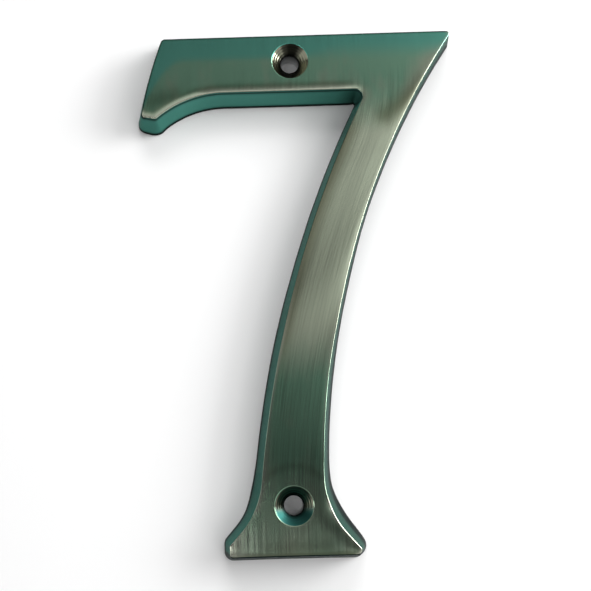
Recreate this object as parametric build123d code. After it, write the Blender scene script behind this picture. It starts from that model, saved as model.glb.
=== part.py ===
from build123d import *
import math
import os

# Door numeral 7: one solid casting with a flat back, sloping walls and two countersunk screw holes.
# All sizes are millimetres and degrees. Reaches are taken across from the centre of the lower screw
# hole and levels up from the edge of the foot, both on the face.

# Body
plate_depth = 5.5
side_slope = 11.5
face_edge_round = 0.4
back_edge_round = 0.25
point_round = 0.6
bar_shoulder_round = 0.9
crotch_back_round = 0.4

# Bar across the top, with its beak at the left end
height = 99.8
bar_height = 11.4
bar_left_reach = 22.85
bar_end_bow = 0.38
beak_reach = 27.2
beak_drop = 15.8
beak_width = 2.85
beak_slant = 0.55
beak_curve_reach = 10.85

# Stem, from the bar down to where the foot flares out
stem_left_bar_reach = 17.2
stem_left_foot_reach = 6.3
stem_left_radius = 211.0
stem_right_top_reach = 34.4
stem_right_foot_reach = 5.95
stem_right_radius = 156.3

# Foot, with a blunt left end and a thin right end
left_flare_level = 8.45
left_flare_round = 16.0
foot_left_reach = 12.0
foot_left_height = 2.25
right_flare_level = 8.0
right_flare_round = 14.0
foot_right_reach = 12.25
foot_right_height = 0.95
foot_right_slant = 0.7

# Screw holes, for a countersunk 3.5 mm wood screw
hole_above_foot = 9.0
hole_below_top = 5.3
upper_hole_reach = 2.3
bore_diameter = 3.6
sink_diameter = 7.2
sink_angle = 90.0

# What follows from the sizes above
wall_spread = plate_depth * math.tan(math.radians(side_slope))
crotch_face_round = crotch_back_round + wall_spread
bar_under_level = height - bar_height
beak_level = height - beak_drop
lower_hole = (0.0, hole_above_foot)
upper_hole = (upper_hole_reach, height - hole_below_top)
hole_middle = ((lower_hole[0] + upper_hole[0]) / 2, (lower_hole[1] + upper_hole[1]) / 2)

# Corners of the face, clockwise from the left end of the top edge
bar_shoulder = (-bar_left_reach, height)
top_point = (stem_right_top_reach, height)
right_flare = (stem_right_foot_reach, right_flare_level)
right_toe = (foot_right_reach, foot_right_height)
right_heel = (foot_right_reach - foot_right_slant, 0.0)
left_heel = (-foot_left_reach, 0.0)
left_toe = (-foot_left_reach, foot_left_height)
left_flare = (-stem_left_foot_reach, left_flare_level)
crotch = (stem_left_bar_reach, bar_under_level)
beak_start = (-beak_curve_reach, bar_under_level)
beak_inner = (beak_width - beak_reach, beak_level - beak_slant)
beak_outer = (-beak_reach, beak_level)

corner_rounds = [
    (bar_shoulder, bar_shoulder_round),
    (top_point, point_round),
    (right_flare, right_flare_round),
    (right_toe, point_round),
    (right_heel, point_round),
    (left_heel, point_round),
    (left_toe, point_round),
    (left_flare, left_flare_round),
    (crotch, crotch_face_round),
    (beak_inner, point_round),
    (beak_outer, point_round),
]


def face_outline():
    """The numeral's face as a flat sketch, with every corner rounded by its own radius."""
    edges = [
        Line(bar_shoulder, top_point),
        RadiusArc(top_point, right_flare, -stem_right_radius),
        Line(right_flare, right_toe),
        Line(right_toe, right_heel),
        Line(right_heel, left_heel),
        Line(left_heel, left_toe),
        Line(left_toe, left_flare),
        RadiusArc(left_flare, crotch, stem_left_radius),
        Line(crotch, beak_start),
        TangentArc(beak_start, beak_inner, tangent=(-1, 0)),
        Line(beak_inner, beak_outer),
        SagittaArc(beak_outer, bar_shoulder, bar_end_bow),
    ]
    outline = make_face(edges)
    for corner, radius in corner_rounds:
        outline = fillet(outline.vertices().sort_by_distance(corner)[0], radius)
    return outline


def cast_body(face_plane):
    """The face carried back to the door by walls that slope outwards, with both edges rounded."""
    body = extrude(face_plane * face_outline(), plate_depth, dir=(0, 1, 0), taper=-side_slope)
    body = fillet(body.faces().sort_by(Axis.Y)[0].edges(), face_edge_round)
    return fillet(body.faces().sort_by(Axis.Y)[-1].edges(), back_edge_round)


def screw_holes(face_plane):
    """Two countersunk holes, sunk from the face and open at the back."""
    hole = CounterSinkHole(bore_diameter / 2, sink_diameter / 2, plate_depth, sink_angle)
    return [face_plane * Pos(*centre) * hole for centre in (lower_hole, upper_hole)]


# The back lies in the plane Y = 0 and the face looks along -Y, with the middle of the two screw
# holes at the origin.
face_plane = Plane.XZ.offset(plate_depth) * Pos(-hole_middle[0], -hole_middle[1])
numeral = cast_body(face_plane) - screw_holes(face_plane)

os.makedirs("parts", exist_ok=True)
export_step(numeral, "parts/numeral_seven.step")
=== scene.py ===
import math
from collections import namedtuple

import bpy
import numpy as np
from mathutils import Matrix, Vector
from mathutils.geometry import delaunay_2d_cdt
from mathutils.kdtree import KDTree


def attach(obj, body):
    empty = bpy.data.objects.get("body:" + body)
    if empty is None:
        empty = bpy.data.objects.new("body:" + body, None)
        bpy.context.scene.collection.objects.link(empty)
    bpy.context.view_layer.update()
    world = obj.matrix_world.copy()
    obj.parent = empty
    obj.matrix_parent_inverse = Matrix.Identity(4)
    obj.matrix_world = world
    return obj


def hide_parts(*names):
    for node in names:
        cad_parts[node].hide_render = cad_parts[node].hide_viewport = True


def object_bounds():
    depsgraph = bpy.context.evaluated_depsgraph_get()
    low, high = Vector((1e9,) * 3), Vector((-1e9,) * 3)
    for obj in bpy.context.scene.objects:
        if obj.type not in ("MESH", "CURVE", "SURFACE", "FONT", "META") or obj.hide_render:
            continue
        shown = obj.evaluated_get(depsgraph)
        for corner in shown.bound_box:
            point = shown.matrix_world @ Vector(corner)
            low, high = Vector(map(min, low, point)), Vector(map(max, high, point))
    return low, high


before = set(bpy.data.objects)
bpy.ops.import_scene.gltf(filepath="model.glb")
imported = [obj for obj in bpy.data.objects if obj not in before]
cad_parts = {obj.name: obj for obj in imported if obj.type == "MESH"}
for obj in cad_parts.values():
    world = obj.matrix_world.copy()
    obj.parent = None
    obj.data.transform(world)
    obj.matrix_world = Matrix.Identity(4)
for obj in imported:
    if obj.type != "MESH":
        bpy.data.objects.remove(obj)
cad_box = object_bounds()

# A cast metal door numeral 7 that lies on a pale ground, seen from the front.
# Lengths are millimetres unless a comment says otherwise. In the part's frame X runs to the right, Z up
# and Y into the door: the back is at Y = 0 and the face looks along -Y. A level is a place in Z.
MM = 0.001

# The section of the numeral's edge. The slope and the round at the back are those of the solid. The
# rounds at the face are finer than the solid's and differ from side to side, as the belt left them.
SIDE_SLOPE = math.radians(11.5)
PLATE_DEPTH = -cad_box[0].y / MM
BACK_ROUND = 0.25
BACK_INSET = BACK_ROUND / math.cos(SIDE_SLOPE) + BACK_ROUND * math.tan(SIDE_SLOPE)
CORNER_ROUND = 0.3
FACE_ROUNDS = {
    "top": 0.22,
    "bar_end": 0.2,
    "under_bar": 0.25,
    "stem_left": 0.2,
    "stem_right": 0.22,
    "foot": 0.25,
}

# Where the bar, its beak and the foot begin
BAR_LEVEL = 24
FOOT_LEVEL = -42
BEAK_LEFT_OF = -5
BEAK_CURVE_LEFT_OF = -17.5

# How far the outline's outward direction leans to a side that it belongs to, where 1 is straight to it
STRAIGHT, MOSTLY, PARTLY, SLIGHTLY = 0.93, 0.6, 0.45, 0.3

# How the face falls away near its edges: how deep at the edge, how far in from it, the power by which it
# steepens, and the share of it that is left on the bar, which it reaches between two levels
Fall = namedtuple("Fall", "side depth width power share_at_bar")
FALLS = [
    Fall("under_bar", depth=0.016, width=1.7, power=3, share_at_bar=1.0),
    Fall("beak_curve", depth=0.029, width=1.9, power=3, share_at_bar=1.0),
    Fall("stem_right", depth=0.11, width=4.2, power=2, share_at_bar=0.2),
    Fall("stem_right", depth=0.05, width=1.5, power=3, share_at_bar=0.3),
    Fall("left_edge", depth=0.055, width=3.0, power=2, share_at_bar=0.2),
    Fall("foot_right", depth=0.05, width=2.4, power=2, share_at_bar=1.0),
    Fall("foot_edge", depth=0.03, width=1.6, power=3, share_at_bar=1.0),
]
FALL_CHANGE_LEVELS = (18, 30)

# How much fuller the casting's walls are at the back than an even slope makes them, and how far the face
# is drawn in along the lower right
RIGHT_FLARE_FULLER = 1.1
LEFT_FLARE_FULLER = 0.45
STEM_LEFT_FULLER = 0.2
STEM_RIGHT_LEANER = 0.3
UNDER_BAR_FULLER = 0.3
BEAK_END_FULLER = 0.35
FACE_DRAWN_IN = 0.3

# The countersinks, as in the solid, with a softened rim and the fine steps that the cutter left
SINK_RADIUS = 3.6
SINK_SLOPE = math.radians(45)
SINK_RIM_ROUND = 0.10
TOOL_PITCH = 0.42
TOOL_DEPTH = 0.010

# How finely the mesh is divided. The rows on the face are distances inside its edge, and those on the
# wall and on the rim of a sink are shares of the way.
OUTLINE_STEP = 0.25
FACE_STEP = 0.6
EDGE_ROWS = (0.12, 0.28, 0.48, 0.72, 1.0, 1.35, 1.75, 2.2, 2.75, 3.4)
WALL_ROWS = (0.08, 0.16, 0.24, 0.4, 0.6, 0.8, 0.88, 0.94)
BACK_ROUND_ROWS = 6
FACE_ROUND_ROWS = 9
RIM_ROWS = (0.66, 0.33, 0.0)
SINK_STEPS = 34
SINK_SIDES = 120
MOUTH_STEP = 0.3
POINTS_AT_ONCE = 2000
SHARP_ANGLE = math.radians(40)

# The finishes, in the order of the numeral's materials
FACE_FINISH, WALL_FINISH, SINK_FINISH, BORE_FINISH, BACK_FINISH = range(5)

# Ends of the straight olive smears on the face, partly staining and partly painted shade
BEAK_STAIN = ((-26.2, 35.2), (-21.5, 36.2))
RIGHT_STAIN = ((26.8, 36.8), (19.3, 31.2))
FOOT_STAIN = ((-6.0, -50.2), (4.5, -50.2))

# The studio in front of the numeral as grey levels by height above the horizon, in degrees
STUDIO = [
    # the dark below the numeral
    (-90, 0.03), (-45, 0.05),
    # a pale table in front of it, and its rear edge
    (-34, 0.40), (-18, 0.42), (-9, 0.20), (-7.4, 0.21),
    # the dark gap behind the table
    (-5.7, 0.02), (-2.7, 0.03),
    # a dim wall
    (0.6, 0.14), (4.3, 0.14),
    # a narrow pale strip
    (6.2, 0.67), (8.3, 0.67),
    # a dark line
    (9.9, 0.02), (10.3, 0.04),
    # a wide soft panel
    (12, 0.43), (17.2, 0.92),
    # the wall above it, and the ceiling
    (18.8, 0.11), (20, 0.11), (22.5, 0.25), (30, 0.17), (90, 0.55),
]

# How the studio's levels are multiplied by the angle to the right of the view, in degrees: a little
# darker at the left, and brightest towards a window at the right
SIDEWAYS = [
    (-90, 0.6), (0, 0.88), (3, 0.90), (6, 0.95), (9, 1.0),
    (11, 1.18), (13, 1.55), (16, 1.95), (22, 2.4),
    (30, 2.8), (45, 2.8), (60, 1.5), (90, 0.8),
]
SIDEWAYS_TOP = 2.8

# White screens far to both sides: where they begin and end across and up, as shares of the direction
SCREEN_ACROSS = (0.76, 0.90)
SCREEN_UP = (0.25, 0.42)
SCREEN_DROP = 0.08
SCREEN_LEVEL = 0.9

# Soft lamps, by angles in degrees to the right of the view and above the horizon, distance and size in
# metres, power in watts, and whether the metal mirrors them
Lamp = namedtuple("Lamp", "name azimuth height distance size power mirrored")
LAMPS = [
    Lamp("key", azimuth=60, height=24, distance=0.6, size=(0.32, 0.36), power=1.65, mirrored=True),
    Lamp("side", azimuth=70, height=12, distance=0.6, size=(0.22, 0.40), power=2.9, mirrored=True),
    Lamp("top", azimuth=0, height=60, distance=0.7, size=(0.50, 0.30), power=2.3, mirrored=False),
    Lamp("low", azimuth=25, height=-45, distance=0.16, size=(0.06, 0.04), power=0.014, mirrored=False),
    Lamp("foot", azimuth=-24, height=-11, distance=0.5, size=(0.14, 0.06), power=0.15, mirrored=True),
]

# The ground, in metres
GROUND_HALF = 1.2
GROUND_BEHIND = 0.0001

# The photograph's frame in pixels, and its camera
IMAGE_SIZE = 591
FOCAL_PIXELS = 907.0
CENTRE_PIXEL = 234.5
SENSOR_WIDTH = 36.0
CAMERA_PLACE = (-9.769, -175.209, -28.762)
CAMERA_PITCH = math.radians(8.455)
CAMERA_YAW = math.radians(0.39)
CAMERA_ROLL = math.radians(-1.584)

# Colours that more than one function uses
WHITE = (1.0, 1.0, 1.0)
# Painted shade: black for the shaded opening of each bore
MOUTH_SHADE_BLACK = (0.010, 0.012, 0.012)


# Helpers for values over places

def climb(values, start, end):
    """A smooth change from 0 at the start to 1 at the end. The end may be less than the start."""
    share = np.clip((values - start) / (end - start), 0, 1)
    return share * share * (3 - 2 * share)


def band(distances, strength=1.0, width=1.0, middle=0.0):
    """A soft band along an edge or a line, by the distances from it."""
    return strength * np.exp(-((distances - middle) / width)**2)


def from_line(flat, start, end):
    """How far points lie from a straight line between two places."""
    start, end = np.array(start), np.array(end)
    along = np.clip((flat - start) @ (end - start) / ((end - start) @ (end - start)), 0, 1)
    return np.linalg.norm(flat - start - along[:, None] * (end - start), axis=1)


def spread(values, reach):
    """Values along the closed outline, evened out over a number of points to each side."""
    return np.mean([np.roll(values, step) for step in range(-reach, reach + 1)], axis=0)


def inside_outline(points, outline):
    """Whether each point lies inside a closed row of points."""
    inside = np.zeros(len(points), bool)
    x, z = points.T
    for (x0, z0), (x1, z1) in zip(outline, np.roll(outline, -1, axis=0)):
        crosses = (z0 > z) != (z1 > z)
        with np.errstate(divide="ignore", invalid="ignore"):
            inside ^= crosses & (x < (x1 - x0) * (z - z0) / (z1 - z0) + x0)
    return inside


# Helpers for shader nodes

def set_inputs(node, values):
    """Gives a node's inputs their values, or links them where a value is another node's output."""
    for name, value in values.items():
        socket = node.inputs[name]
        if isinstance(value, bpy.types.NodeSocket):
            node.id_data.links.new(value, socket)
        elif socket.type == "RGBA":
            socket.default_value = (*value, 1.0)
        else:
            socket.default_value = value


def add_node(tree, kind, values=None, **settings):
    """A node of this kind, with its settings made and its inputs given values or linked."""
    made = tree.nodes.new(kind)
    for name, value in settings.items():
        setattr(made, name, value)
    set_inputs(made, values or {})
    return made


def math_node(tree, operation, *values, **settings):
    """The result of a sum on one or more values."""
    made = add_node(tree, "ShaderNodeMath", dict(enumerate(values)), operation=operation, **settings)
    return made.outputs[0]


def map_range(tree, value, source, target=(0.0, 1.0), kind="LINEAR"):
    """A value carried from one range to another, and kept inside it."""
    values = {"Value": value, "From Min": source[0], "From Max": source[1],
              "To Min": target[0], "To Max": target[1]}
    return add_node(tree, "ShaderNodeMapRange", values, interpolation_type=kind).outputs[0]


def ramp(tree, factor, stops):
    """A value spread over coloured stops, each a place from 0 to 1 and a colour or a grey level."""
    made = add_node(tree, "ShaderNodeValToRGB", {"Fac": factor})
    elements = made.color_ramp.elements
    elements[0].position, elements[1].position = stops[0][0], stops[-1][0]
    for place, colour in stops[1:-1]:
        elements.new(place)
    for element, (place, colour) in zip(elements, stops):
        element.color = (*colour, 1.0) if isinstance(colour, tuple) else (colour, colour, colour, 1.0)
    return made.outputs["Color"]


def blend(tree, factor, first, second, mode="MIX"):
    """Two colours blended by a factor."""
    factor_socket, first_socket, second_socket, result = 0, 6, 7, 2
    values = {factor_socket: factor, first_socket: first, second_socket: second}
    return add_node(tree, "ShaderNodeMix", values, data_type="RGBA", blend_type=mode).outputs[result]


def attribute(tree, name):
    """A value that is stored on the mesh's points."""
    return add_node(tree, "ShaderNodeAttribute", attribute_name=name).outputs["Fac"]


def noise(tree, vector, stretch, detail=3.0, roughness=0.55):
    """Noise over coordinates that are stretched first, so that it can run in lines."""
    stretched = add_node(tree, "ShaderNodeVectorMath", {0: vector, 1: stretch}, operation="MULTIPLY")
    values = {"Vector": stretched.outputs[0], "Scale": 1.0, "Detail": detail, "Roughness": roughness}
    return add_node(tree, "ShaderNodeTexNoise", values).outputs["Fac"]


def bump(tree, height, strength, distance):
    """A surface direction changed by a fine height, whose distance is in metres."""
    values = {"Height": height, "Strength": strength, "Distance": distance}
    return add_node(tree, "ShaderNodeBump", values).outputs[0]


def object_place(tree):
    """Coordinates in the part's frame, in metres."""
    return add_node(tree, "ShaderNodeTexCoord").outputs["Object"]


def layer_place(tree, layer):
    """Coordinates from one of the mesh's two layers, brushing or turning."""
    return add_node(tree, "ShaderNodeUVMap", uv_map=layer).outputs[0]


def metal(name):
    """A new material with its node tree and its metal shader."""
    material = bpy.data.materials.new(name)
    material.use_nodes = True
    tree = material.node_tree
    shader = tree.nodes["Principled BSDF"]
    shader.inputs["Metallic"].default_value = 1.0
    return material, tree, shader


# The numeral's outline, read from the solid

def back_loops(cad):
    """The closed rows of points that bound the solid's flat back, the longest first, as X and Z."""
    mesh = cad.data
    same_place, straight_back = 0.002 * MM, 0.9999
    tree = KDTree(len(mesh.vertices))
    for vertex in mesh.vertices:
        tree.insert(vertex.co, vertex.index)
    tree.balance()
    first_there = []
    for vertex in mesh.vertices:
        first_there.append(min(index for place, index, apart in tree.find_range(vertex.co, same_place)))
    edges = set()
    for facet in mesh.polygons:
        if facet.normal.y > straight_back:
            corners = [first_there[index] for index in facet.vertices]
            edges.update(zip(corners, corners[1:] + corners[:1]))
    following = {start: end for start, end in edges if (end, start) not in edges}
    loops = []
    while following:
        number, loop = min(following), []
        while number in following:
            place = mesh.vertices[number].co
            loop.append((place.x / MM, place.z / MM))
            number = following.pop(number)
        loops.append(np.array(loop))
    return sorted(loops, key=len, reverse=True)


def leaving_directions(points):
    """The direction in which a closed outline leaves each of its points. Each step is straight or an
    arc, so it makes equal angles with the outline at its two ends, and the directions follow from one
    another, starting at the first step, which is straight."""
    chords = np.roll(points, -1, axis=0) - points
    angles = np.arctan2(chords[:, 1], chords[:, 0])
    leaving = [angles[0]]
    for angle in angles[:-1]:
        turn = (angle - leaving[-1] + math.pi) % (2 * math.pi) - math.pi
        leaving.append(angle + turn)
    return np.stack([np.cos(leaving), np.sin(leaving)], 1)


def outward_of(directions):
    """The outward side of directions that run round the outline against the clock."""
    return np.stack([directions[:, 1], -directions[:, 0]], 1)


def curve(start, end, leaving, arriving, count):
    """Points on the smooth curve between two places, without its end, and its directions there."""
    s = (np.arange(count) / count)[:, None]
    places = ((2 * s**3 - 3 * s**2 + 1) * start + (s**3 - 2 * s**2 + s) * leaving
              + (3 * s**2 - 2 * s**3) * end + (s**3 - s**2) * arriving)
    directions = ((6 * s**2 - 6 * s) * start + (3 * s**2 - 4 * s + 1) * leaving
                  + (6 * s - 6 * s**2) * end + (3 * s**2 - 2 * s) * arriving)
    return places, directions


def smooth_outline(loop):
    """The outline where the walls would meet the back, in even steps, as points and outward directions."""
    area = np.sum(loop[:, 0] * np.roll(loop[:, 1], -1) - np.roll(loop[:, 0], -1) * loop[:, 1])
    points = loop if area > 0 else loop[::-1]
    lengths = np.linalg.norm(np.roll(points, -1, axis=0) - points, axis=1)
    points = np.roll(points, -np.argmax(lengths), axis=0)
    tangents = leaving_directions(points)
    points = points + outward_of(tangents) * BACK_INSET
    rows, directions = [], []
    for here in range(len(points)):
        there = (here + 1) % len(points)
        length = np.linalg.norm(points[there] - points[here])
        count = max(1, math.ceil(length / OUTLINE_STEP))
        leaving, arriving = tangents[here] * length, tangents[there] * length
        row, along = curve(points[here], points[there], leaving, arriving, count)
        rows.append(row)
        directions.append(outward_of(along))
    outward = np.concatenate(directions)
    return np.concatenate(rows), outward / np.linalg.norm(outward, axis=1)[:, None]


def sides(outline, outward):
    """Which points of the outline belong to each side of the numeral, by place and outward direction."""
    x, z = outline.T
    out_x, out_z = outward.T
    bar, foot = z > BAR_LEVEL, z < FOOT_LEVEL
    beak = bar & (x < BEAK_LEFT_OF)
    looks_down = out_z < np.where(x > 0, -STRAIGHT, -PARTLY)
    round_the_beak = out_x > 0.75
    under_bar = bar & looks_down & ~round_the_beak
    return {
        "top": bar & (out_z > MOSTLY),
        "bar_end": beak & (out_x < -MOSTLY),
        "under_bar": under_bar,
        "beak_curve": under_bar & (x < BEAK_CURVE_LEFT_OF),
        "stem_left": (out_x < -PARTLY) & ~beak & ~foot,
        "stem_right": (out_x > PARTLY) & ~beak & ~foot,
        "left_edge": (out_x < -SLIGHTLY) & ~beak,
        "foot": foot,
        "foot_right": foot & (out_x > SLIGHTLY),
        "foot_edge": foot & (out_z < -MOSTLY),
    }


# The linished face

class Face:
    """The numeral's face, which is flat apart from where the belt has rolled it off near its edges."""

    def __init__(self, cad):
        rim, *bores = back_loops(cad)
        self.holes = [bore.mean(axis=0) for bore in bores]
        self.bore_radius = np.linalg.norm(bores[0] - self.holes[0], axis=1).mean()
        self.outline, self.outward = smooth_outline(rim)
        self.sides = sides(self.outline, self.outward)
        rounds = np.full(len(self.outline), CORNER_ROUND)
        for side, size in FACE_ROUNDS.items():
            rounds[self.sides[side]] = size
        self.rounds = spread(rounds, reach=5)
        z = self.outline[:, 1]
        lower_right = climb(z, -5, -22) * climb(z, -44, -36) * self.sides["stem_right"]
        self.drawn_in = spread(FACE_DRAWN_IN * lower_right, reach=8)
        round_inset = self.rounds * math.tan(math.pi / 4 - SIDE_SLOPE / 2)
        self.inset = PLATE_DEPTH * math.tan(SIDE_SLOPE) + round_inset + self.drawn_in

    def gap(self, points, side=None):
        """How far each point lies inside the edge of the face, or inside the edge on one side."""
        share = np.ones(len(self.outline), bool) if side is None else self.sides[side]
        outline, outward, inset = self.outline[share], self.outward[share], self.inset[share]
        gaps = np.empty(len(points))
        for first in range(0, len(points), POINTS_AT_ONCE):
            some = points[first:first + POINTS_AT_ONCE]
            apart = some[:, None, :] - outline[None, :, :]
            nearest = np.argmin((apart**2).sum(2), 1)
            step = apart[np.arange(len(some)), nearest]
            look = outward[nearest]
            deep = (step * look).sum(1)
            past = np.abs(step[:, 1] * look[:, 0] - step[:, 0] * look[:, 1]) - OUTLINE_STEP
            gaps[first:first + POINTS_AT_ONCE] = np.sqrt(deep**2 + np.maximum(past, 0)**2) - inset[nearest]
        return np.maximum(gaps, 0)

    def fall(self, points):
        """How far the face lies behind the level of its middle at each point."""
        to_bar = climb(points[:, 1], *FALL_CHANGE_LEVELS)
        total = np.zeros(len(points))
        for fall in FALLS:
            share = 1 - (1 - fall.share_at_bar) * to_bar
            nearness = np.maximum(1 - self.gap(points, fall.side) / fall.width, 0)
            total += share * fall.depth * nearness**fall.power
        return total

    def inner_points(self):
        """Points inside the face: rows that follow its edge, coarser further in, and a grid in the middle,
        all of them clear of the sinks."""
        rows = []
        for order, gap in enumerate(EDGE_ROWS):
            every = 1 + order // 3
            row = (self.outline - self.outward * (self.inset + gap)[:, None])[::every]
            nearest_its_own_edge = self.gap(row) > 0.97 * gap
            rows.append(row[nearest_its_own_edge])
        low, high = self.outline.min(0), self.outline.max(0)
        places = [np.arange(low[axis], high[axis], FACE_STEP) for axis in (0, 1)]
        across, up = np.meshgrid(*places)
        grid = np.stack([across.ravel(), up.ravel()], 1)
        grid = grid[inside_outline(grid, self.outline)]
        clear_of_rows, clear_of_sink = 0.4, 0.45
        rows.append(grid[self.gap(grid) > EDGE_ROWS[-1] + clear_of_rows])
        flat = np.concatenate(rows)
        for hole in self.holes:
            flat = flat[np.linalg.norm(flat - hole, axis=1) > SINK_RADIUS + clear_of_sink]
        return np.stack([flat[:, 0], self.fall(flat) - PLATE_DEPTH, flat[:, 1]], 1)


# The mesh that stands for the numeral

class MeshParts:
    """Points and facets of a mesh as they are gathered, with a finish for each facet."""

    def __init__(self):
        self.points, self.facets, self.finishes = [], [], []
        self.count = 0

    def add_points(self, points):
        """The numbers of these points, which are added to the mesh."""
        first = self.count
        self.points.append(np.asarray(points, float))
        self.count += len(points)
        return np.arange(first, self.count)

    def join_rows(self, rows, finish, flip=False):
        """Bands of facets between closed rows of points, in one finish or in a finish for each facet."""
        for lower, upper in zip(rows, rows[1:]):
            for a, b, c, d in zip(lower, np.roll(lower, -1), np.roll(upper, -1), upper):
                self.facets.append((d, c, b, a) if flip else (a, b, c, d))
            self.finishes.extend(np.broadcast_to(finish, len(lower)))

    def fill(self, loops, inner, finish, flip=False):
        """A surface of triangles inside the first closed row and outside the others, over inner points."""
        bounds = [np.concatenate(self.points)[loop][:, [0, 2]] for loop in loops]
        numbers = np.concatenate([*loops, self.add_points(inner)])
        flat = np.concatenate([*bounds, inner[:, [0, 2]]])
        edges, first = [], 0
        for loop in loops:
            count = len(loop)
            edges += [(first + i, first + (i + 1) % count) for i in range(count)]
            first += count
        found = delaunay_2d_cdt([Vector(place) for place in flat], edges, [], 0, 1e-6, True)
        triangles, origins = found[2], found[3]
        corners = np.array([[origins[i][0] for i in triangle] for triangle in triangles])
        middles = flat[corners].mean(axis=1)
        kept = inside_outline(middles, bounds[0])
        for bound in bounds[1:]:
            kept &= ~inside_outline(middles, bound)
        for triangle in numbers[corners[kept]]:
            self.facets.append(tuple(triangle[::-1] if flip else triangle))
            self.finishes.append(finish)


def ring(hole, radius, depth):
    """A closed row of points round a screw hole, at one depth or at a depth for each."""
    turn = np.linspace(0, 2 * math.pi, SINK_SIDES, endpoint=False)
    x, z = hole[0] + radius * np.cos(turn), hole[1] + radius * np.sin(turn)
    return np.stack([x, np.broadcast_to(depth, x.shape), z], 1)


def arc(centre, radius, start, end, count):
    """Points on an arc in a section of the edge, as outward reach and depth."""
    angles = np.linspace(start, end, count)
    return [(centre[0] + radius * math.cos(a), centre[1] + radius * math.sin(a)) for a in angles]


def edge_section(rounds):
    """The section of the edge from the back to the face, for the round at each point of the outline, as
    rows of outward reach and depth: those of the back and the wall, and those of the round at the face."""
    slope = math.tan(SIDE_SLOPE)
    back_centre = (-BACK_INSET, -BACK_ROUND)
    face_depth = rounds - PLATE_DEPTH
    face_centre = (face_depth * slope - rounds / math.cos(SIDE_SLOPE), face_depth)
    wall = arc(back_centre, BACK_ROUND, math.pi / 2, -SIDE_SLOPE, BACK_ROUND_ROWS)
    rounded = arc(face_centre, rounds, -SIDE_SLOPE, -math.pi / 2, FACE_ROUND_ROWS)
    wall_start, wall_end = wall[-1][1], rounded[0][1]
    for share in WALL_ROWS:
        depth = wall_start * (1 - share) + wall_end * share
        wall.append((depth * slope, depth))
    return wall, rounded


def wall_change(face):
    """How much wider or narrower each wall is at the back than an even slope makes it: the casting's walls
    are fuller where the foot flares out and under the bar, and leaner along the upper right."""
    x, z = face.outline.T
    out_x, out_z = face.outward.T
    on_right_flare = (out_x > SLIGHTLY) & (out_z > -SLIGHTLY)
    above_toe = climb(z, -51.9, -50.3)
    right_flare = band(z, RIGHT_FLARE_FULLER, width=6.0, middle=-45) * above_toe * on_right_flare
    left_flare = band(z, LEFT_FLARE_FULLER, width=4.0, middle=-40.5) * (out_x < -SLIGHTLY)
    stem_left = STEM_LEFT_FULLER * climb(z, 5, -15) * face.sides["stem_left"]
    stem_right = STEM_RIGHT_LEANER * climb(z, -2, 14) * face.sides["stem_right"]
    under_bar = UNDER_BAR_FULLER * face.sides["under_bar"]
    looks_down = out_z < -0.85
    beak_end = BEAK_END_FULLER * climb(x, -21, -24) * looks_down * face.sides["under_bar"]
    return spread(right_flare + left_flare + stem_left - stem_right + under_bar + beak_end, reach=8)


def add_edge(parts, face):
    """The walls and the rounds at their edges. Gives the first and the last of their rows of points."""
    wall, rounded = edge_section(face.rounds)
    fuller = wall_change(face)
    fall = face.fall(face.outline - face.outward * face.inset[:, None])
    rows = []
    for number, (reach, depth) in enumerate(wall + rounded):
        sunk = fall * (number >= len(wall))
        forward = -np.minimum(depth + sunk, 0) / PLATE_DEPTH
        wider = fuller * (1 - forward) - face.drawn_in * forward
        flat = face.outline + face.outward * (reach + sunk * math.tan(SIDE_SLOPE) + wider)[:, None]
        flat[:, 0] = np.maximum(flat[:, 0], cad_box[0].x / MM)
        rows.append(parts.add_points(np.stack([flat[:, 0], depth + sunk, flat[:, 1]], 1)))
    last_wall_row = len(wall) + FACE_ROUND_ROWS // 2
    dull_edge = face.sides["top"] | face.sides["bar_end"] | face.sides["foot_edge"]
    parts.join_rows(rows[:last_wall_row + 1], WALL_FINISH)
    parts.join_rows(rows[last_wall_row:], np.where(dull_edge, WALL_FINISH, FACE_FINISH))
    return rows[0], rows[-1]


def add_screw_hole(parts, face, hole):
    """A countersink with a softened rim and the cutter's fine steps, and the bore behind it. Gives the
    first and the last of their rows of points."""
    edge = ring(hole, SINK_RADIUS + SINK_RIM_ROUND, 0.0)
    edge[:, 1] = face.fall(edge[:, [0, 2]]) - PLATE_DEPTH
    rim = [parts.add_points(edge)]
    for share in RIM_ROWS:
        radius = SINK_RADIUS + SINK_RIM_ROUND * (share - 0.5)
        drop = SINK_RIM_ROUND * (1 - share)**2 * 0.5
        rim.append(parts.add_points(ring(hole, radius, edge[:, 1] + drop)))
    cone = [rim[-1]]
    top = SINK_RADIUS - SINK_RIM_ROUND * 0.5
    for step in range(1, SINK_STEPS + 1):
        radius = top + (face.bore_radius - top) * step / SINK_STEPS
        depth = (SINK_RADIUS - radius) / math.tan(SINK_SLOPE) - PLATE_DEPTH
        groove = TOOL_DEPTH * math.sin(2 * math.pi * (top - radius) / TOOL_PITCH)
        cone.append(parts.add_points(ring(hole, radius, depth + (groove if step < SINK_STEPS else 0.0))))
    sunk = SINK_RADIUS - face.bore_radius - PLATE_DEPTH
    bore = [cone[-1]]
    for depth in (sunk + MOUTH_STEP, sunk + 2 * MOUTH_STEP, 0.0):
        bore.append(parts.add_points(ring(hole, face.bore_radius, depth)))
    parts.join_rows(rim, FACE_FINISH, flip=True)
    parts.join_rows(cone, SINK_FINISH, flip=True)
    parts.join_rows(bore, BORE_FINISH, flip=True)
    return rim[0], bore[-1]


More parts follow.
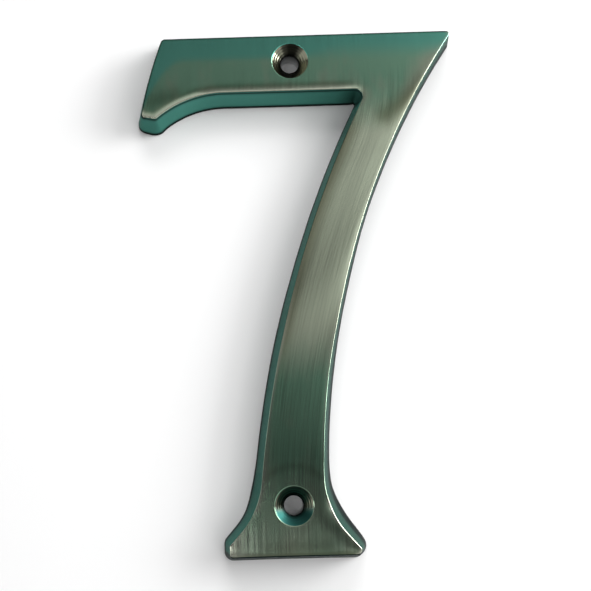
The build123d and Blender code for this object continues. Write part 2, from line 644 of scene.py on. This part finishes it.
def gather_parts(face):
    """The numeral's mesh: the solid's outline and section, with a linished face and turned countersinks."""
    parts = MeshParts()
    back_edge, face_edge = add_edge(parts, face)
    face_rims, back_rims = [face_edge], [back_edge]
    for hole in face.holes:
        rim, back_rim = add_screw_hole(parts, face, hole)
        face_rims.append(rim)
        back_rims.append(back_rim)
    no_points = np.zeros((0, 3))
    parts.fill(face_rims, face.inner_points(), FACE_FINISH)
    parts.fill(back_rims, no_points, BACK_FINISH, flip=True)
    return parts


# Values on the mesh's points that the finishes use, each from 0 to 1

class Places:
    """Where the mesh's points lie: on the door's plane, behind the face, inside its edges and round the
    nearest sink."""

    def __init__(self, points, face):
        self.flat = points[:, [0, 2]]
        self.x, self.y, self.z = points.T
        self.behind_face = self.y + PLATE_DEPTH
        marked = ("top", "bar_end", "under_bar", "stem_left", "stem_right", "foot_right", "foot_edge")
        gaps = {side: face.gap(self.flat, side) for side in marked}
        self.from_under_bar = gaps["under_bar"]
        self.from_stem_left = gaps["stem_left"]
        self.from_stem_right = gaps["stem_right"]
        self.from_foot_right = gaps["foot_right"]
        self.from_foot_edge = gaps["foot_edge"]
        self.from_right = np.minimum(gaps["stem_right"], gaps["foot_right"])
        self.from_top = np.minimum(gaps["top"], gaps["bar_end"])
        self.short_of_crotch = 1 - climb(self.x, 11.5, 15.0)
        lower, upper = sorted(face.holes, key=lambda hole: hole[1])
        self.at_lower_sink = self.z < 0
        apart = self.flat - np.where(self.at_lower_sink[:, None], lower, upper)
        self.from_sink = np.linalg.norm(apart, axis=1)
        self.above_sink = apart[:, 1]


def patina(at):
    """Teal along the top of the bar, and green on the bar and the lower stem: partly patina, partly painted
    reflection by level.
    """
    to_right = climb(at.x, 2, 12)
    level = 43.5 + 0.9 * to_right - 0.14 * np.maximum(-19.6 - at.x, 0)**2
    blur = 0.8 + 1.5 * to_right
    rubbed = (1 - band(at.from_stem_right, 0.9, width=2.6)) * (1 - band(at.from_under_bar, 0.75, width=1.0))
    on_bar = climb(at.z, 27, 36) * rubbed
    on_stem = climb(at.z, -9, -24) * (1 - 0.6 * climb(at.z, -33, -44))
    return {"teal": climb(at.z, level - blur, level + blur), "green": np.clip(on_bar + on_stem, 0, 1)}


def wear_and_highlight_edges(at):
    """Pale bare metal under the bar, along the stem and the foot, and at the foot's left end: edge wear,
    partly painted highlight on the rolled edges.
    """
    foot_end = np.exp(-np.maximum(at.x + 13.5, 0) / 3.5)
    return np.max([
        band(at.from_under_bar, 0.6, width=0.6) * at.short_of_crotch,
        band(at.from_stem_right, 0.3, width=0.3),
        band(at.from_foot_right, 0.8, width=0.3),
        band(at.from_stem_left, 0.5, width=0.3) * climb(at.z, 6, -20),
        band(at.from_stem_left, 0.6, width=0.8) * climb(at.z, -24, -36),
        foot_end * climb(at.z, -43, -49),
    ], axis=0)


def stains_and_painted_shade(at):
    """Olive along the edges, in three straight smears and in an arc above the lower sink: partly staining,
    partly painted shade where the face rolls off near its edges or dips above the sink.
    """
    return np.max([
        band(at.from_under_bar, 0.7, width=0.65, middle=0.95) * at.short_of_crotch,
        band(at.from_stem_left, 0.95, width=1.6) * climb(at.z, -26, -10) * climb(at.z, 35, 27),
        band(at.from_foot_edge, 1.0, width=0.6),
        band(at.from_top, 0.9, width=0.15),
        band(from_line(at.flat, *BEAK_STAIN), 0.65, width=1.9),
        band(from_line(at.flat, *RIGHT_STAIN), 1.0, width=2.1),
        band(from_line(at.flat, *FOOT_STAIN), 0.5, width=1.4),
        band(at.from_sink, 0.4, width=0.6, middle=7.2) * climb(at.above_sink, 3, 5) * at.at_lower_sink,
    ], axis=0)


def dirt(at):
    """Painted shade along the back edge, wider at the right and narrower under the bar, and in thin lines
    at the edge of the face, under the bar towards the crotch and along the foot's lower edge."""
    edge_line = 0.03
    on_right = at.from_right < 0.1
    below = band(at.from_under_bar, 1.0, width=1.5)
    start = -1.9 + 0.7 * below - 1.2 * on_right
    full = -0.9 + 0.25 * below - 0.9 * on_right
    return np.max([
        climb(at.y, start, full),
        0.9 * (at.from_top < edge_line) * (at.behind_face < 0.3),
        (at.from_under_bar < edge_line) * band(at.behind_face, 0.95, width=0.3, middle=0.42),
        0.6 * (at.from_under_bar < 0.3) * climb(at.x, 9, 15),
        0.95 * (at.from_foot_edge < edge_line) * climb(at.z, -50.5, -51.2),
    ], axis=0)


def finish_values(points, face):
    """All values that the finishes read, by name."""
    at = Places(points, face)
    round_the_bore = band(at.from_sink, 1.0, width=0.4, middle=face.bore_radius)
    return {
        # Patina and painted reflection: teal and green laid on by level
        **patina(at),
        # Edge wear and painted highlight: pale bands along the edges stand partly for the light the rolled
        # edges catch
        "worn": wear_and_highlight_edges(at),
        # Staining and painted shade: olive bands where the face rolls off or dips
        "olive": stains_and_painted_shade(at),
        # Painted shade along the back edge and at the face's edge
        "dirt": dirt(at),
        "brush": 1 - 0.8 * climb(at.z, 28, 38),
        # Painted light: the walls under the bar are paler, where less light reaches them
        "underside": band(at.from_under_bar, 1.0, width=1.5) * (1 - 0.5 * climb(at.x, -18, -25)),
        # Painted shade: the right walls, which the lamps light most, are darker
        "soiled": band(at.from_right, 1.0, width=0.5),
        # Painted shade round the opening of each bore
        "mouth": round_the_bore * climb(at.behind_face, 2.8, 2.2),
        # Painted reflection: the lower half of the lower sink is tinted teal
        "below_low": climb(at.above_sink, 0.5, -1.5) * at.at_lower_sink,
    }


# The numeral's object

def stem_line(z):
    """Where the middle of the stem is at a level, and how fast it leans there. The brushing follows it, and
    turns upright in the bar and in the foot."""
    bend, lean, middle = 0.00313, 0.298, 5.75
    upright_from, upright_over = 24.0, 16.0
    low = np.maximum(np.minimum(z, upright_from), -lean / (2 * bend))
    above = np.clip(z - upright_from, 0, upright_over)
    top_lean = lean + 2 * bend * upright_from
    place = middle + lean * low + bend * low**2 + top_lean * above * (1 - above / (2 * upright_over))
    slope = np.where(above > 0, top_lean * (1 - above / upright_over), lean + 2 * bend * low)
    return place, slope


def brushing_coordinates(flat):
    """Coordinates across and along the brushing, in tenths of a metre."""
    x, z = flat.T
    middle, lean = stem_line(z)
    return np.stack([x - middle, z + lean * (x - middle)], 1) / 100


def turning_coordinates(flat, holes):
    """Coordinates round the nearest screw hole, as a share of a turn, and out from it in centimetres."""
    apart = np.array([flat - hole for hole in holes])
    nearest = np.argmin(np.linalg.norm(apart, axis=2), axis=0)
    near = apart[nearest, np.arange(len(flat))]
    angle = np.arctan2(near[:, 1], near[:, 0]) / (2 * math.pi)
    return np.stack([angle, np.linalg.norm(near, axis=1) / 10], 1)


def make_object(name, parts, face):
    """The object made of the gathered points and facets, with its values and two sets of coordinates."""
    points = np.concatenate(parts.points)
    mesh = bpy.data.meshes.new(name)
    mesh.from_pydata((points * MM).tolist(), [], [tuple(int(i) for i in facet) for facet in parts.facets])
    mesh.polygons.foreach_set("material_index", np.array(parts.finishes, np.int32))
    mesh.polygons.foreach_set("use_smooth", np.ones(len(mesh.polygons), bool))
    for key, values in finish_values(points, face).items():
        mesh.attributes.new(key, "FLOAT", "POINT").data.foreach_set("value", values.astype(np.float32))
    corners = np.empty(len(mesh.loops), np.int32)
    mesh.loops.foreach_get("vertex_index", corners)
    flat = points[corners][:, [0, 2]]
    layers = {"brushing": brushing_coordinates(flat), "turning": turning_coordinates(flat, face.holes)}
    for key, coordinates in layers.items():
        layer = mesh.uv_layers.new(name=key)
        layer.data.foreach_set("uv", coordinates.astype(np.float32).ravel())
    mesh.update()
    mesh.set_sharp_from_angle(angle=SHARP_ANGLE)
    made = bpy.data.objects.new(name, mesh)
    bpy.context.scene.collection.objects.link(made)
    return made


# Finishes

def brushed_face():
    """The linished face: olive grey metal with fine lines along the stem, patina and painted reflection,
    olive staining and painted shade, and pale edge wear and painted highlight.
    """
    bare, worn, stain_and_shade_colour = (0.48, 0.54, 0.41), (0.68, 0.70, 0.58), (0.50, 0.48, 0.42)
    green, teal = (0.285, 0.54, 0.38), (0.17, 0.54, 0.43)
    unbrushed = (0.95, 0.95, 0.95)
    material, tree, shader = metal("brushed_face")
    place = object_place(tree)
    along_stem = layer_place(tree, "brushing")
    fine = noise(tree, along_stem, (400.0, 7.0, 1.0), 4.0, 0.6)
    broad = noise(tree, along_stem, (62.0, 1.3, 1.0), 3.0)
    cloud = noise(tree, place, (170.0, 170.0, 75.0), 4.0)
    mottle = map_range(tree, cloud, (0.3, 0.7), (0.5, 1.5))
    # Patina and painted reflection: green, then teal, laid on by level
    mottled_green = math_node(tree, "MULTIPLY", attribute(tree, "green"), mottle, use_clamp=True)
    colour = blend(tree, mottled_green, bare, green)
    colour = blend(tree, attribute(tree, "teal"), colour, teal)
    # Staining and painted shade, multiplied in
    colour = blend(tree, 1.0, colour, blend(tree, attribute(tree, "olive"), WHITE, stain_and_shade_colour), "MULTIPLY")
    # Edge wear and painted highlight, pale along the edges
    colour = blend(tree, attribute(tree, "worn"), colour, worn)
    lines = ramp(tree, fine, [(0.33, 0.79), (0.5, 0.95), (0.64, 1.0)])
    stripes = ramp(tree, broad, [(0.34, 0.91), (0.66, 1.0)])
    marks = blend(tree, 1.0, lines, stripes, "MULTIPLY")
    marks = blend(tree, attribute(tree, "brush"), unbrushed, marks)
    tangent = add_node(tree, "ShaderNodeTangent", direction_type="UV_MAP", uv_map="brushing")
    set_inputs(shader, {
        "Base Color": blend(tree, 1.0, colour, marks, "MULTIPLY"),
        "Roughness": map_range(tree, fine, (0.25, 0.75), (0.14, 0.20)),
        "Anisotropic": 0.9,
        "Tangent": tangent.outputs[0],
        "Normal": bump(tree, fine, strength=0.2, distance=0.00002),
    })
    return material


def cast_wall():
    """The walls: dark teal patina with the faint grain of the casting, painted light under the bar, and
    painted shade on the right walls, along the back edge and in thin lines at the edge of the face.
    """
    dark, pale, painted_light_below = (0.026, 0.112, 0.088), (0.036, 0.138, 0.112), (0.069, 0.250, 0.204)
    right_wall_shade, edge_shade_black, gloss = (0.026, 0.072, 0.056), (0.003, 0.006, 0.006), (0.06, 0.34, 0.28)
    material, tree, shader = metal("cast_wall")
    place = object_place(tree)
    cloud = noise(tree, place, (110.0, 110.0, 110.0), 4.0)
    grain = noise(tree, place, (1500.0, 1500.0, 1500.0), 2.0)
    colour = ramp(tree, cloud, [(0.3, dark), (0.7, pale)])
    # Painted light on the walls under the bar
    colour = blend(tree, attribute(tree, "underside"), colour, painted_light_below)
    # Painted shade on the right walls
    colour = blend(tree, attribute(tree, "soiled"), colour, right_wall_shade)
    # Painted shade in near black
    colour = blend(tree, attribute(tree, "dirt"), colour, edge_shade_black)
    set_inputs(shader, {
        "Base Color": colour,
        "Roughness": map_range(tree, grain, (0.3, 0.7), (0.36, 0.48)),
        "Metallic": 0.3,
        "Specular IOR Level": 0.1,
        "Specular Tint": gloss,
        "Normal": bump(tree, grain, strength=0.15, distance=0.00002),
    })
    return material


def turned_sink():
    """The countersinks: dark metal with the rings of the cutter, painted reflection in teal on the lower
    half of the lower one, and painted shade in black where the bore opens.
    """
    dark, pale = (0.14, 0.145, 0.11), (0.32, 0.32, 0.235)
    teal = (0.036, 0.150, 0.134)
    material, tree, shader = metal("turned_sink")
    rings = noise(tree, layer_place(tree, "turning"), (2.0, 130.0, 1.0), 3.0)
    colour = ramp(tree, rings, [(0.3, dark), (0.7, pale)])
    # Painted reflection in teal on the lower half of the lower sink
    colour = blend(tree, attribute(tree, "below_low"), colour, teal)
    # Painted shade in black where the bore opens
    colour = blend(tree, attribute(tree, "mouth"), colour, MOUTH_SHADE_BLACK)
    rough = map_range(tree, rings, (0.3, 0.7), (0.10, 0.17))
    rougher_below = math_node(tree, "MULTIPLY_ADD", attribute(tree, "below_low"), 0.25, rough)
    set_inputs(shader, {"Base Color": colour, "Roughness": rougher_below})
    return material


def bare_bore():
    """The drilled bores: bare grey metal, with painted shade in black where each bore opens."""
    dark, pale = (0.66, 0.67, 0.67), (0.78, 0.79, 0.79)
    material, tree, shader = metal("bare_bore")
    place = object_place(tree)
    cloud = noise(tree, place, (700.0, 700.0, 700.0), 3.0)
    colour = ramp(tree, cloud, [(0.3, dark), (0.7, pale)])
    # Painted shade in black where the bore opens
    colour = blend(tree, attribute(tree, "mouth"), colour, MOUTH_SHADE_BLACK)
    set_inputs(shader, {"Base Color": colour, "Roughness": 0.45})
    return material


def cast_back():
    """The back: bare grey metal with the grain of the casting."""
    dark, pale = (0.20, 0.235, 0.205), (0.30, 0.335, 0.295)
    material, tree, shader = metal("cast_back")
    place = object_place(tree)
    cloud = noise(tree, place, (90.0, 90.0, 90.0), 4.0)
    grain = noise(tree, place, (1300.0, 1300.0, 1300.0), 3.0)
    colour = ramp(tree, cloud, [(0.3, dark), (0.7, pale)])
    pits = ramp(tree, grain, [(0.35, 0.72), (0.55, 1.0)])
    set_inputs(shader, {
        "Base Color": blend(tree, 1.0, colour, pits, "MULTIPLY"),
        "Roughness": map_range(tree, grain, (0.3, 0.7), (0.55, 0.42)),
        "Normal": bump(tree, grain, strength=0.3, distance=0.00005),
    })
    return material


def pale_ground():
    """The ground's matt white. Its rear side lets everything through, and so does its front for rays that
    have come through it, so that the back of the numeral is lit and can be seen from behind."""
    material = bpy.data.materials.new("pale_ground")
    material.use_nodes = True
    tree = material.node_tree
    tree.nodes.remove(tree.nodes["Principled BSDF"])
    pale = add_node(tree, "ShaderNodeBsdfDiffuse", {"Color": (0.95, 0.95, 0.95)}).outputs[0]
    clear = add_node(tree, "ShaderNodeBsdfTransparent").outputs[0]
    from_rear = add_node(tree, "ShaderNodeNewGeometry").outputs["Backfacing"]
    times_through = add_node(tree, "ShaderNodeLightPath").outputs["Transparent Depth"]
    been_through = math_node(tree, "GREATER_THAN", times_through, 0.5)
    let_through = math_node(tree, "MAXIMUM", from_rear, been_through)
    mixed = add_node(tree, "ShaderNodeMixShader", {0: let_through, 1: pale, 2: clear}).outputs[0]
    set_inputs(tree.nodes["Material Output"], {"Surface": mixed})
    return material


# Ground, light and camera

def ground():
    """The pale ground that the numeral lies on."""
    mesh = bpy.data.meshes.new("ground")
    square = ((-1, -1), (1, -1), (1, 1), (-1, 1))
    corners = [(x * GROUND_HALF, GROUND_BEHIND, z * GROUND_HALF) for x, z in square]
    mesh.from_pydata(corners, [], [(0, 1, 2, 3)])
    mesh.materials.append(pale_ground())
    made = bpy.data.objects.new("ground", mesh)
    bpy.context.scene.collection.objects.link(made)


def stops_by_angle(levels, top=1.0):
    """Levels by angle in degrees as the stops of a ramp over the sine of the angle."""
    return [((math.sin(math.radians(angle)) + 1) / 2, level / top) for angle, level in levels]


def studio():
    """The surroundings: white for the camera and behind the ground, and a soft studio for all else."""
    world = bpy.data.worlds.new("studio")
    bpy.context.scene.world = world
    world.use_nodes = True
    tree = world.node_tree
    generated = add_node(tree, "ShaderNodeTexCoord").outputs["Generated"]
    direction = add_node(tree, "ShaderNodeSeparateXYZ", {0: generated}).outputs
    up = map_range(tree, direction["Z"], (-1.0, 1.0))
    across = map_range(tree, direction["X"], (-1.0, 1.0))
    levels = ramp(tree, up, stops_by_angle(STUDIO))
    sideways = ramp(tree, across, stops_by_angle(SIDEWAYS, SIDEWAYS_TOP))
    sideways = math_node(tree, "MULTIPLY", sideways, SIDEWAYS_TOP)
    scaled = add_node(tree, "ShaderNodeVectorMath", {0: levels, "Scale": sideways}, operation="SCALE")
    far_aside = math_node(tree, "ABSOLUTE", direction["X"])
    off_level = math_node(tree, "ABSOLUTE", math_node(tree, "ADD", direction["Z"], SCREEN_DROP))
    screen_across = map_range(tree, far_aside, SCREEN_ACROSS, (0.0, SCREEN_LEVEL), "SMOOTHSTEP")
    screen_up = map_range(tree, off_level, SCREEN_UP, (1.0, 0.0), "SMOOTHSTEP")
    levels = blend(tree, math_node(tree, "MULTIPLY", screen_across, screen_up), scaled.outputs[0], WHITE)
    rays = add_node(tree, "ShaderNodeLightPath").outputs
    behind = math_node(tree, "GREATER_THAN", direction["Y"], 0.0)
    mirrored = math_node(tree, "MAXIMUM", rays["Is Glossy Ray"], rays["Is Transmission Ray"])
    mirrored_behind = math_node(tree, "MULTIPLY", mirrored, behind)
    white = math_node(tree, "MAXIMUM", rays["Is Camera Ray"], mirrored_behind)
    set_inputs(tree.nodes["Background"], {"Color": blend(tree, white, levels, WHITE)})


def add_lamp(lamp):
    """A soft rectangular lamp aimed at the numeral, which the camera doesn't see."""
    data = bpy.data.lights.new(lamp.name, "AREA")
    data.shape = "RECTANGLE"
    data.size, data.size_y = lamp.size
    data.energy = lamp.power
    made = bpy.data.objects.new(lamp.name, data)
    bpy.context.scene.collection.objects.link(made)
    turn, rise = math.radians(lamp.azimuth), math.radians(lamp.height)
    away = Vector((math.sin(turn) * math.cos(rise), -math.cos(turn) * math.cos(rise), math.sin(rise)))
    made.location = away * lamp.distance
    made.rotation_euler = (-away).to_track_quat("-Z", "Y").to_euler()
    made.visible_camera = False
    made.visible_glossy = lamp.mirrored


def camera():
    """The photograph's camera, close in front of the lower stem and looking slightly up."""
    data = bpy.data.cameras.new("camera")
    data.sensor_width = SENSOR_WIDTH
    data.lens = FOCAL_PIXELS / IMAGE_SIZE * SENSOR_WIDTH
    data.shift_x = ((IMAGE_SIZE - 1) / 2 - CENTRE_PIXEL) / IMAGE_SIZE
    data.clip_start, data.clip_end = 0.01, 20.0
    made = bpy.data.objects.new("camera", data)
    bpy.context.scene.collection.objects.link(made)
    turned = (Matrix.Rotation(CAMERA_YAW, 3, "Z") @ Matrix.Rotation(math.pi / 2 + CAMERA_PITCH, 3, "X")
              @ Matrix.Rotation(CAMERA_ROLL, 3, "Z"))
    made.location = Vector(CAMERA_PLACE) * MM
    made.rotation_euler = turned.to_euler()
    bpy.context.scene.camera = made


# The scene

for leftover in ("Cube", "Light", "Camera"):
    if leftover in bpy.data.objects:
        bpy.data.objects.remove(bpy.data.objects[leftover])

linished = Face(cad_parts["numeral_seven"])
numeral = make_object("numeral_seven_brushed", gather_parts(linished), linished)
for finish in (brushed_face(), cast_wall(), turned_sink(), bare_bore(), cast_back()):
    numeral.data.materials.append(finish)
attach(numeral, "root")
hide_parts("numeral_seven")

ground()
studio()
for lamp in LAMPS:
    add_lamp(lamp)
camera()
bpy.context.scene.view_settings.view_transform = "Standard"
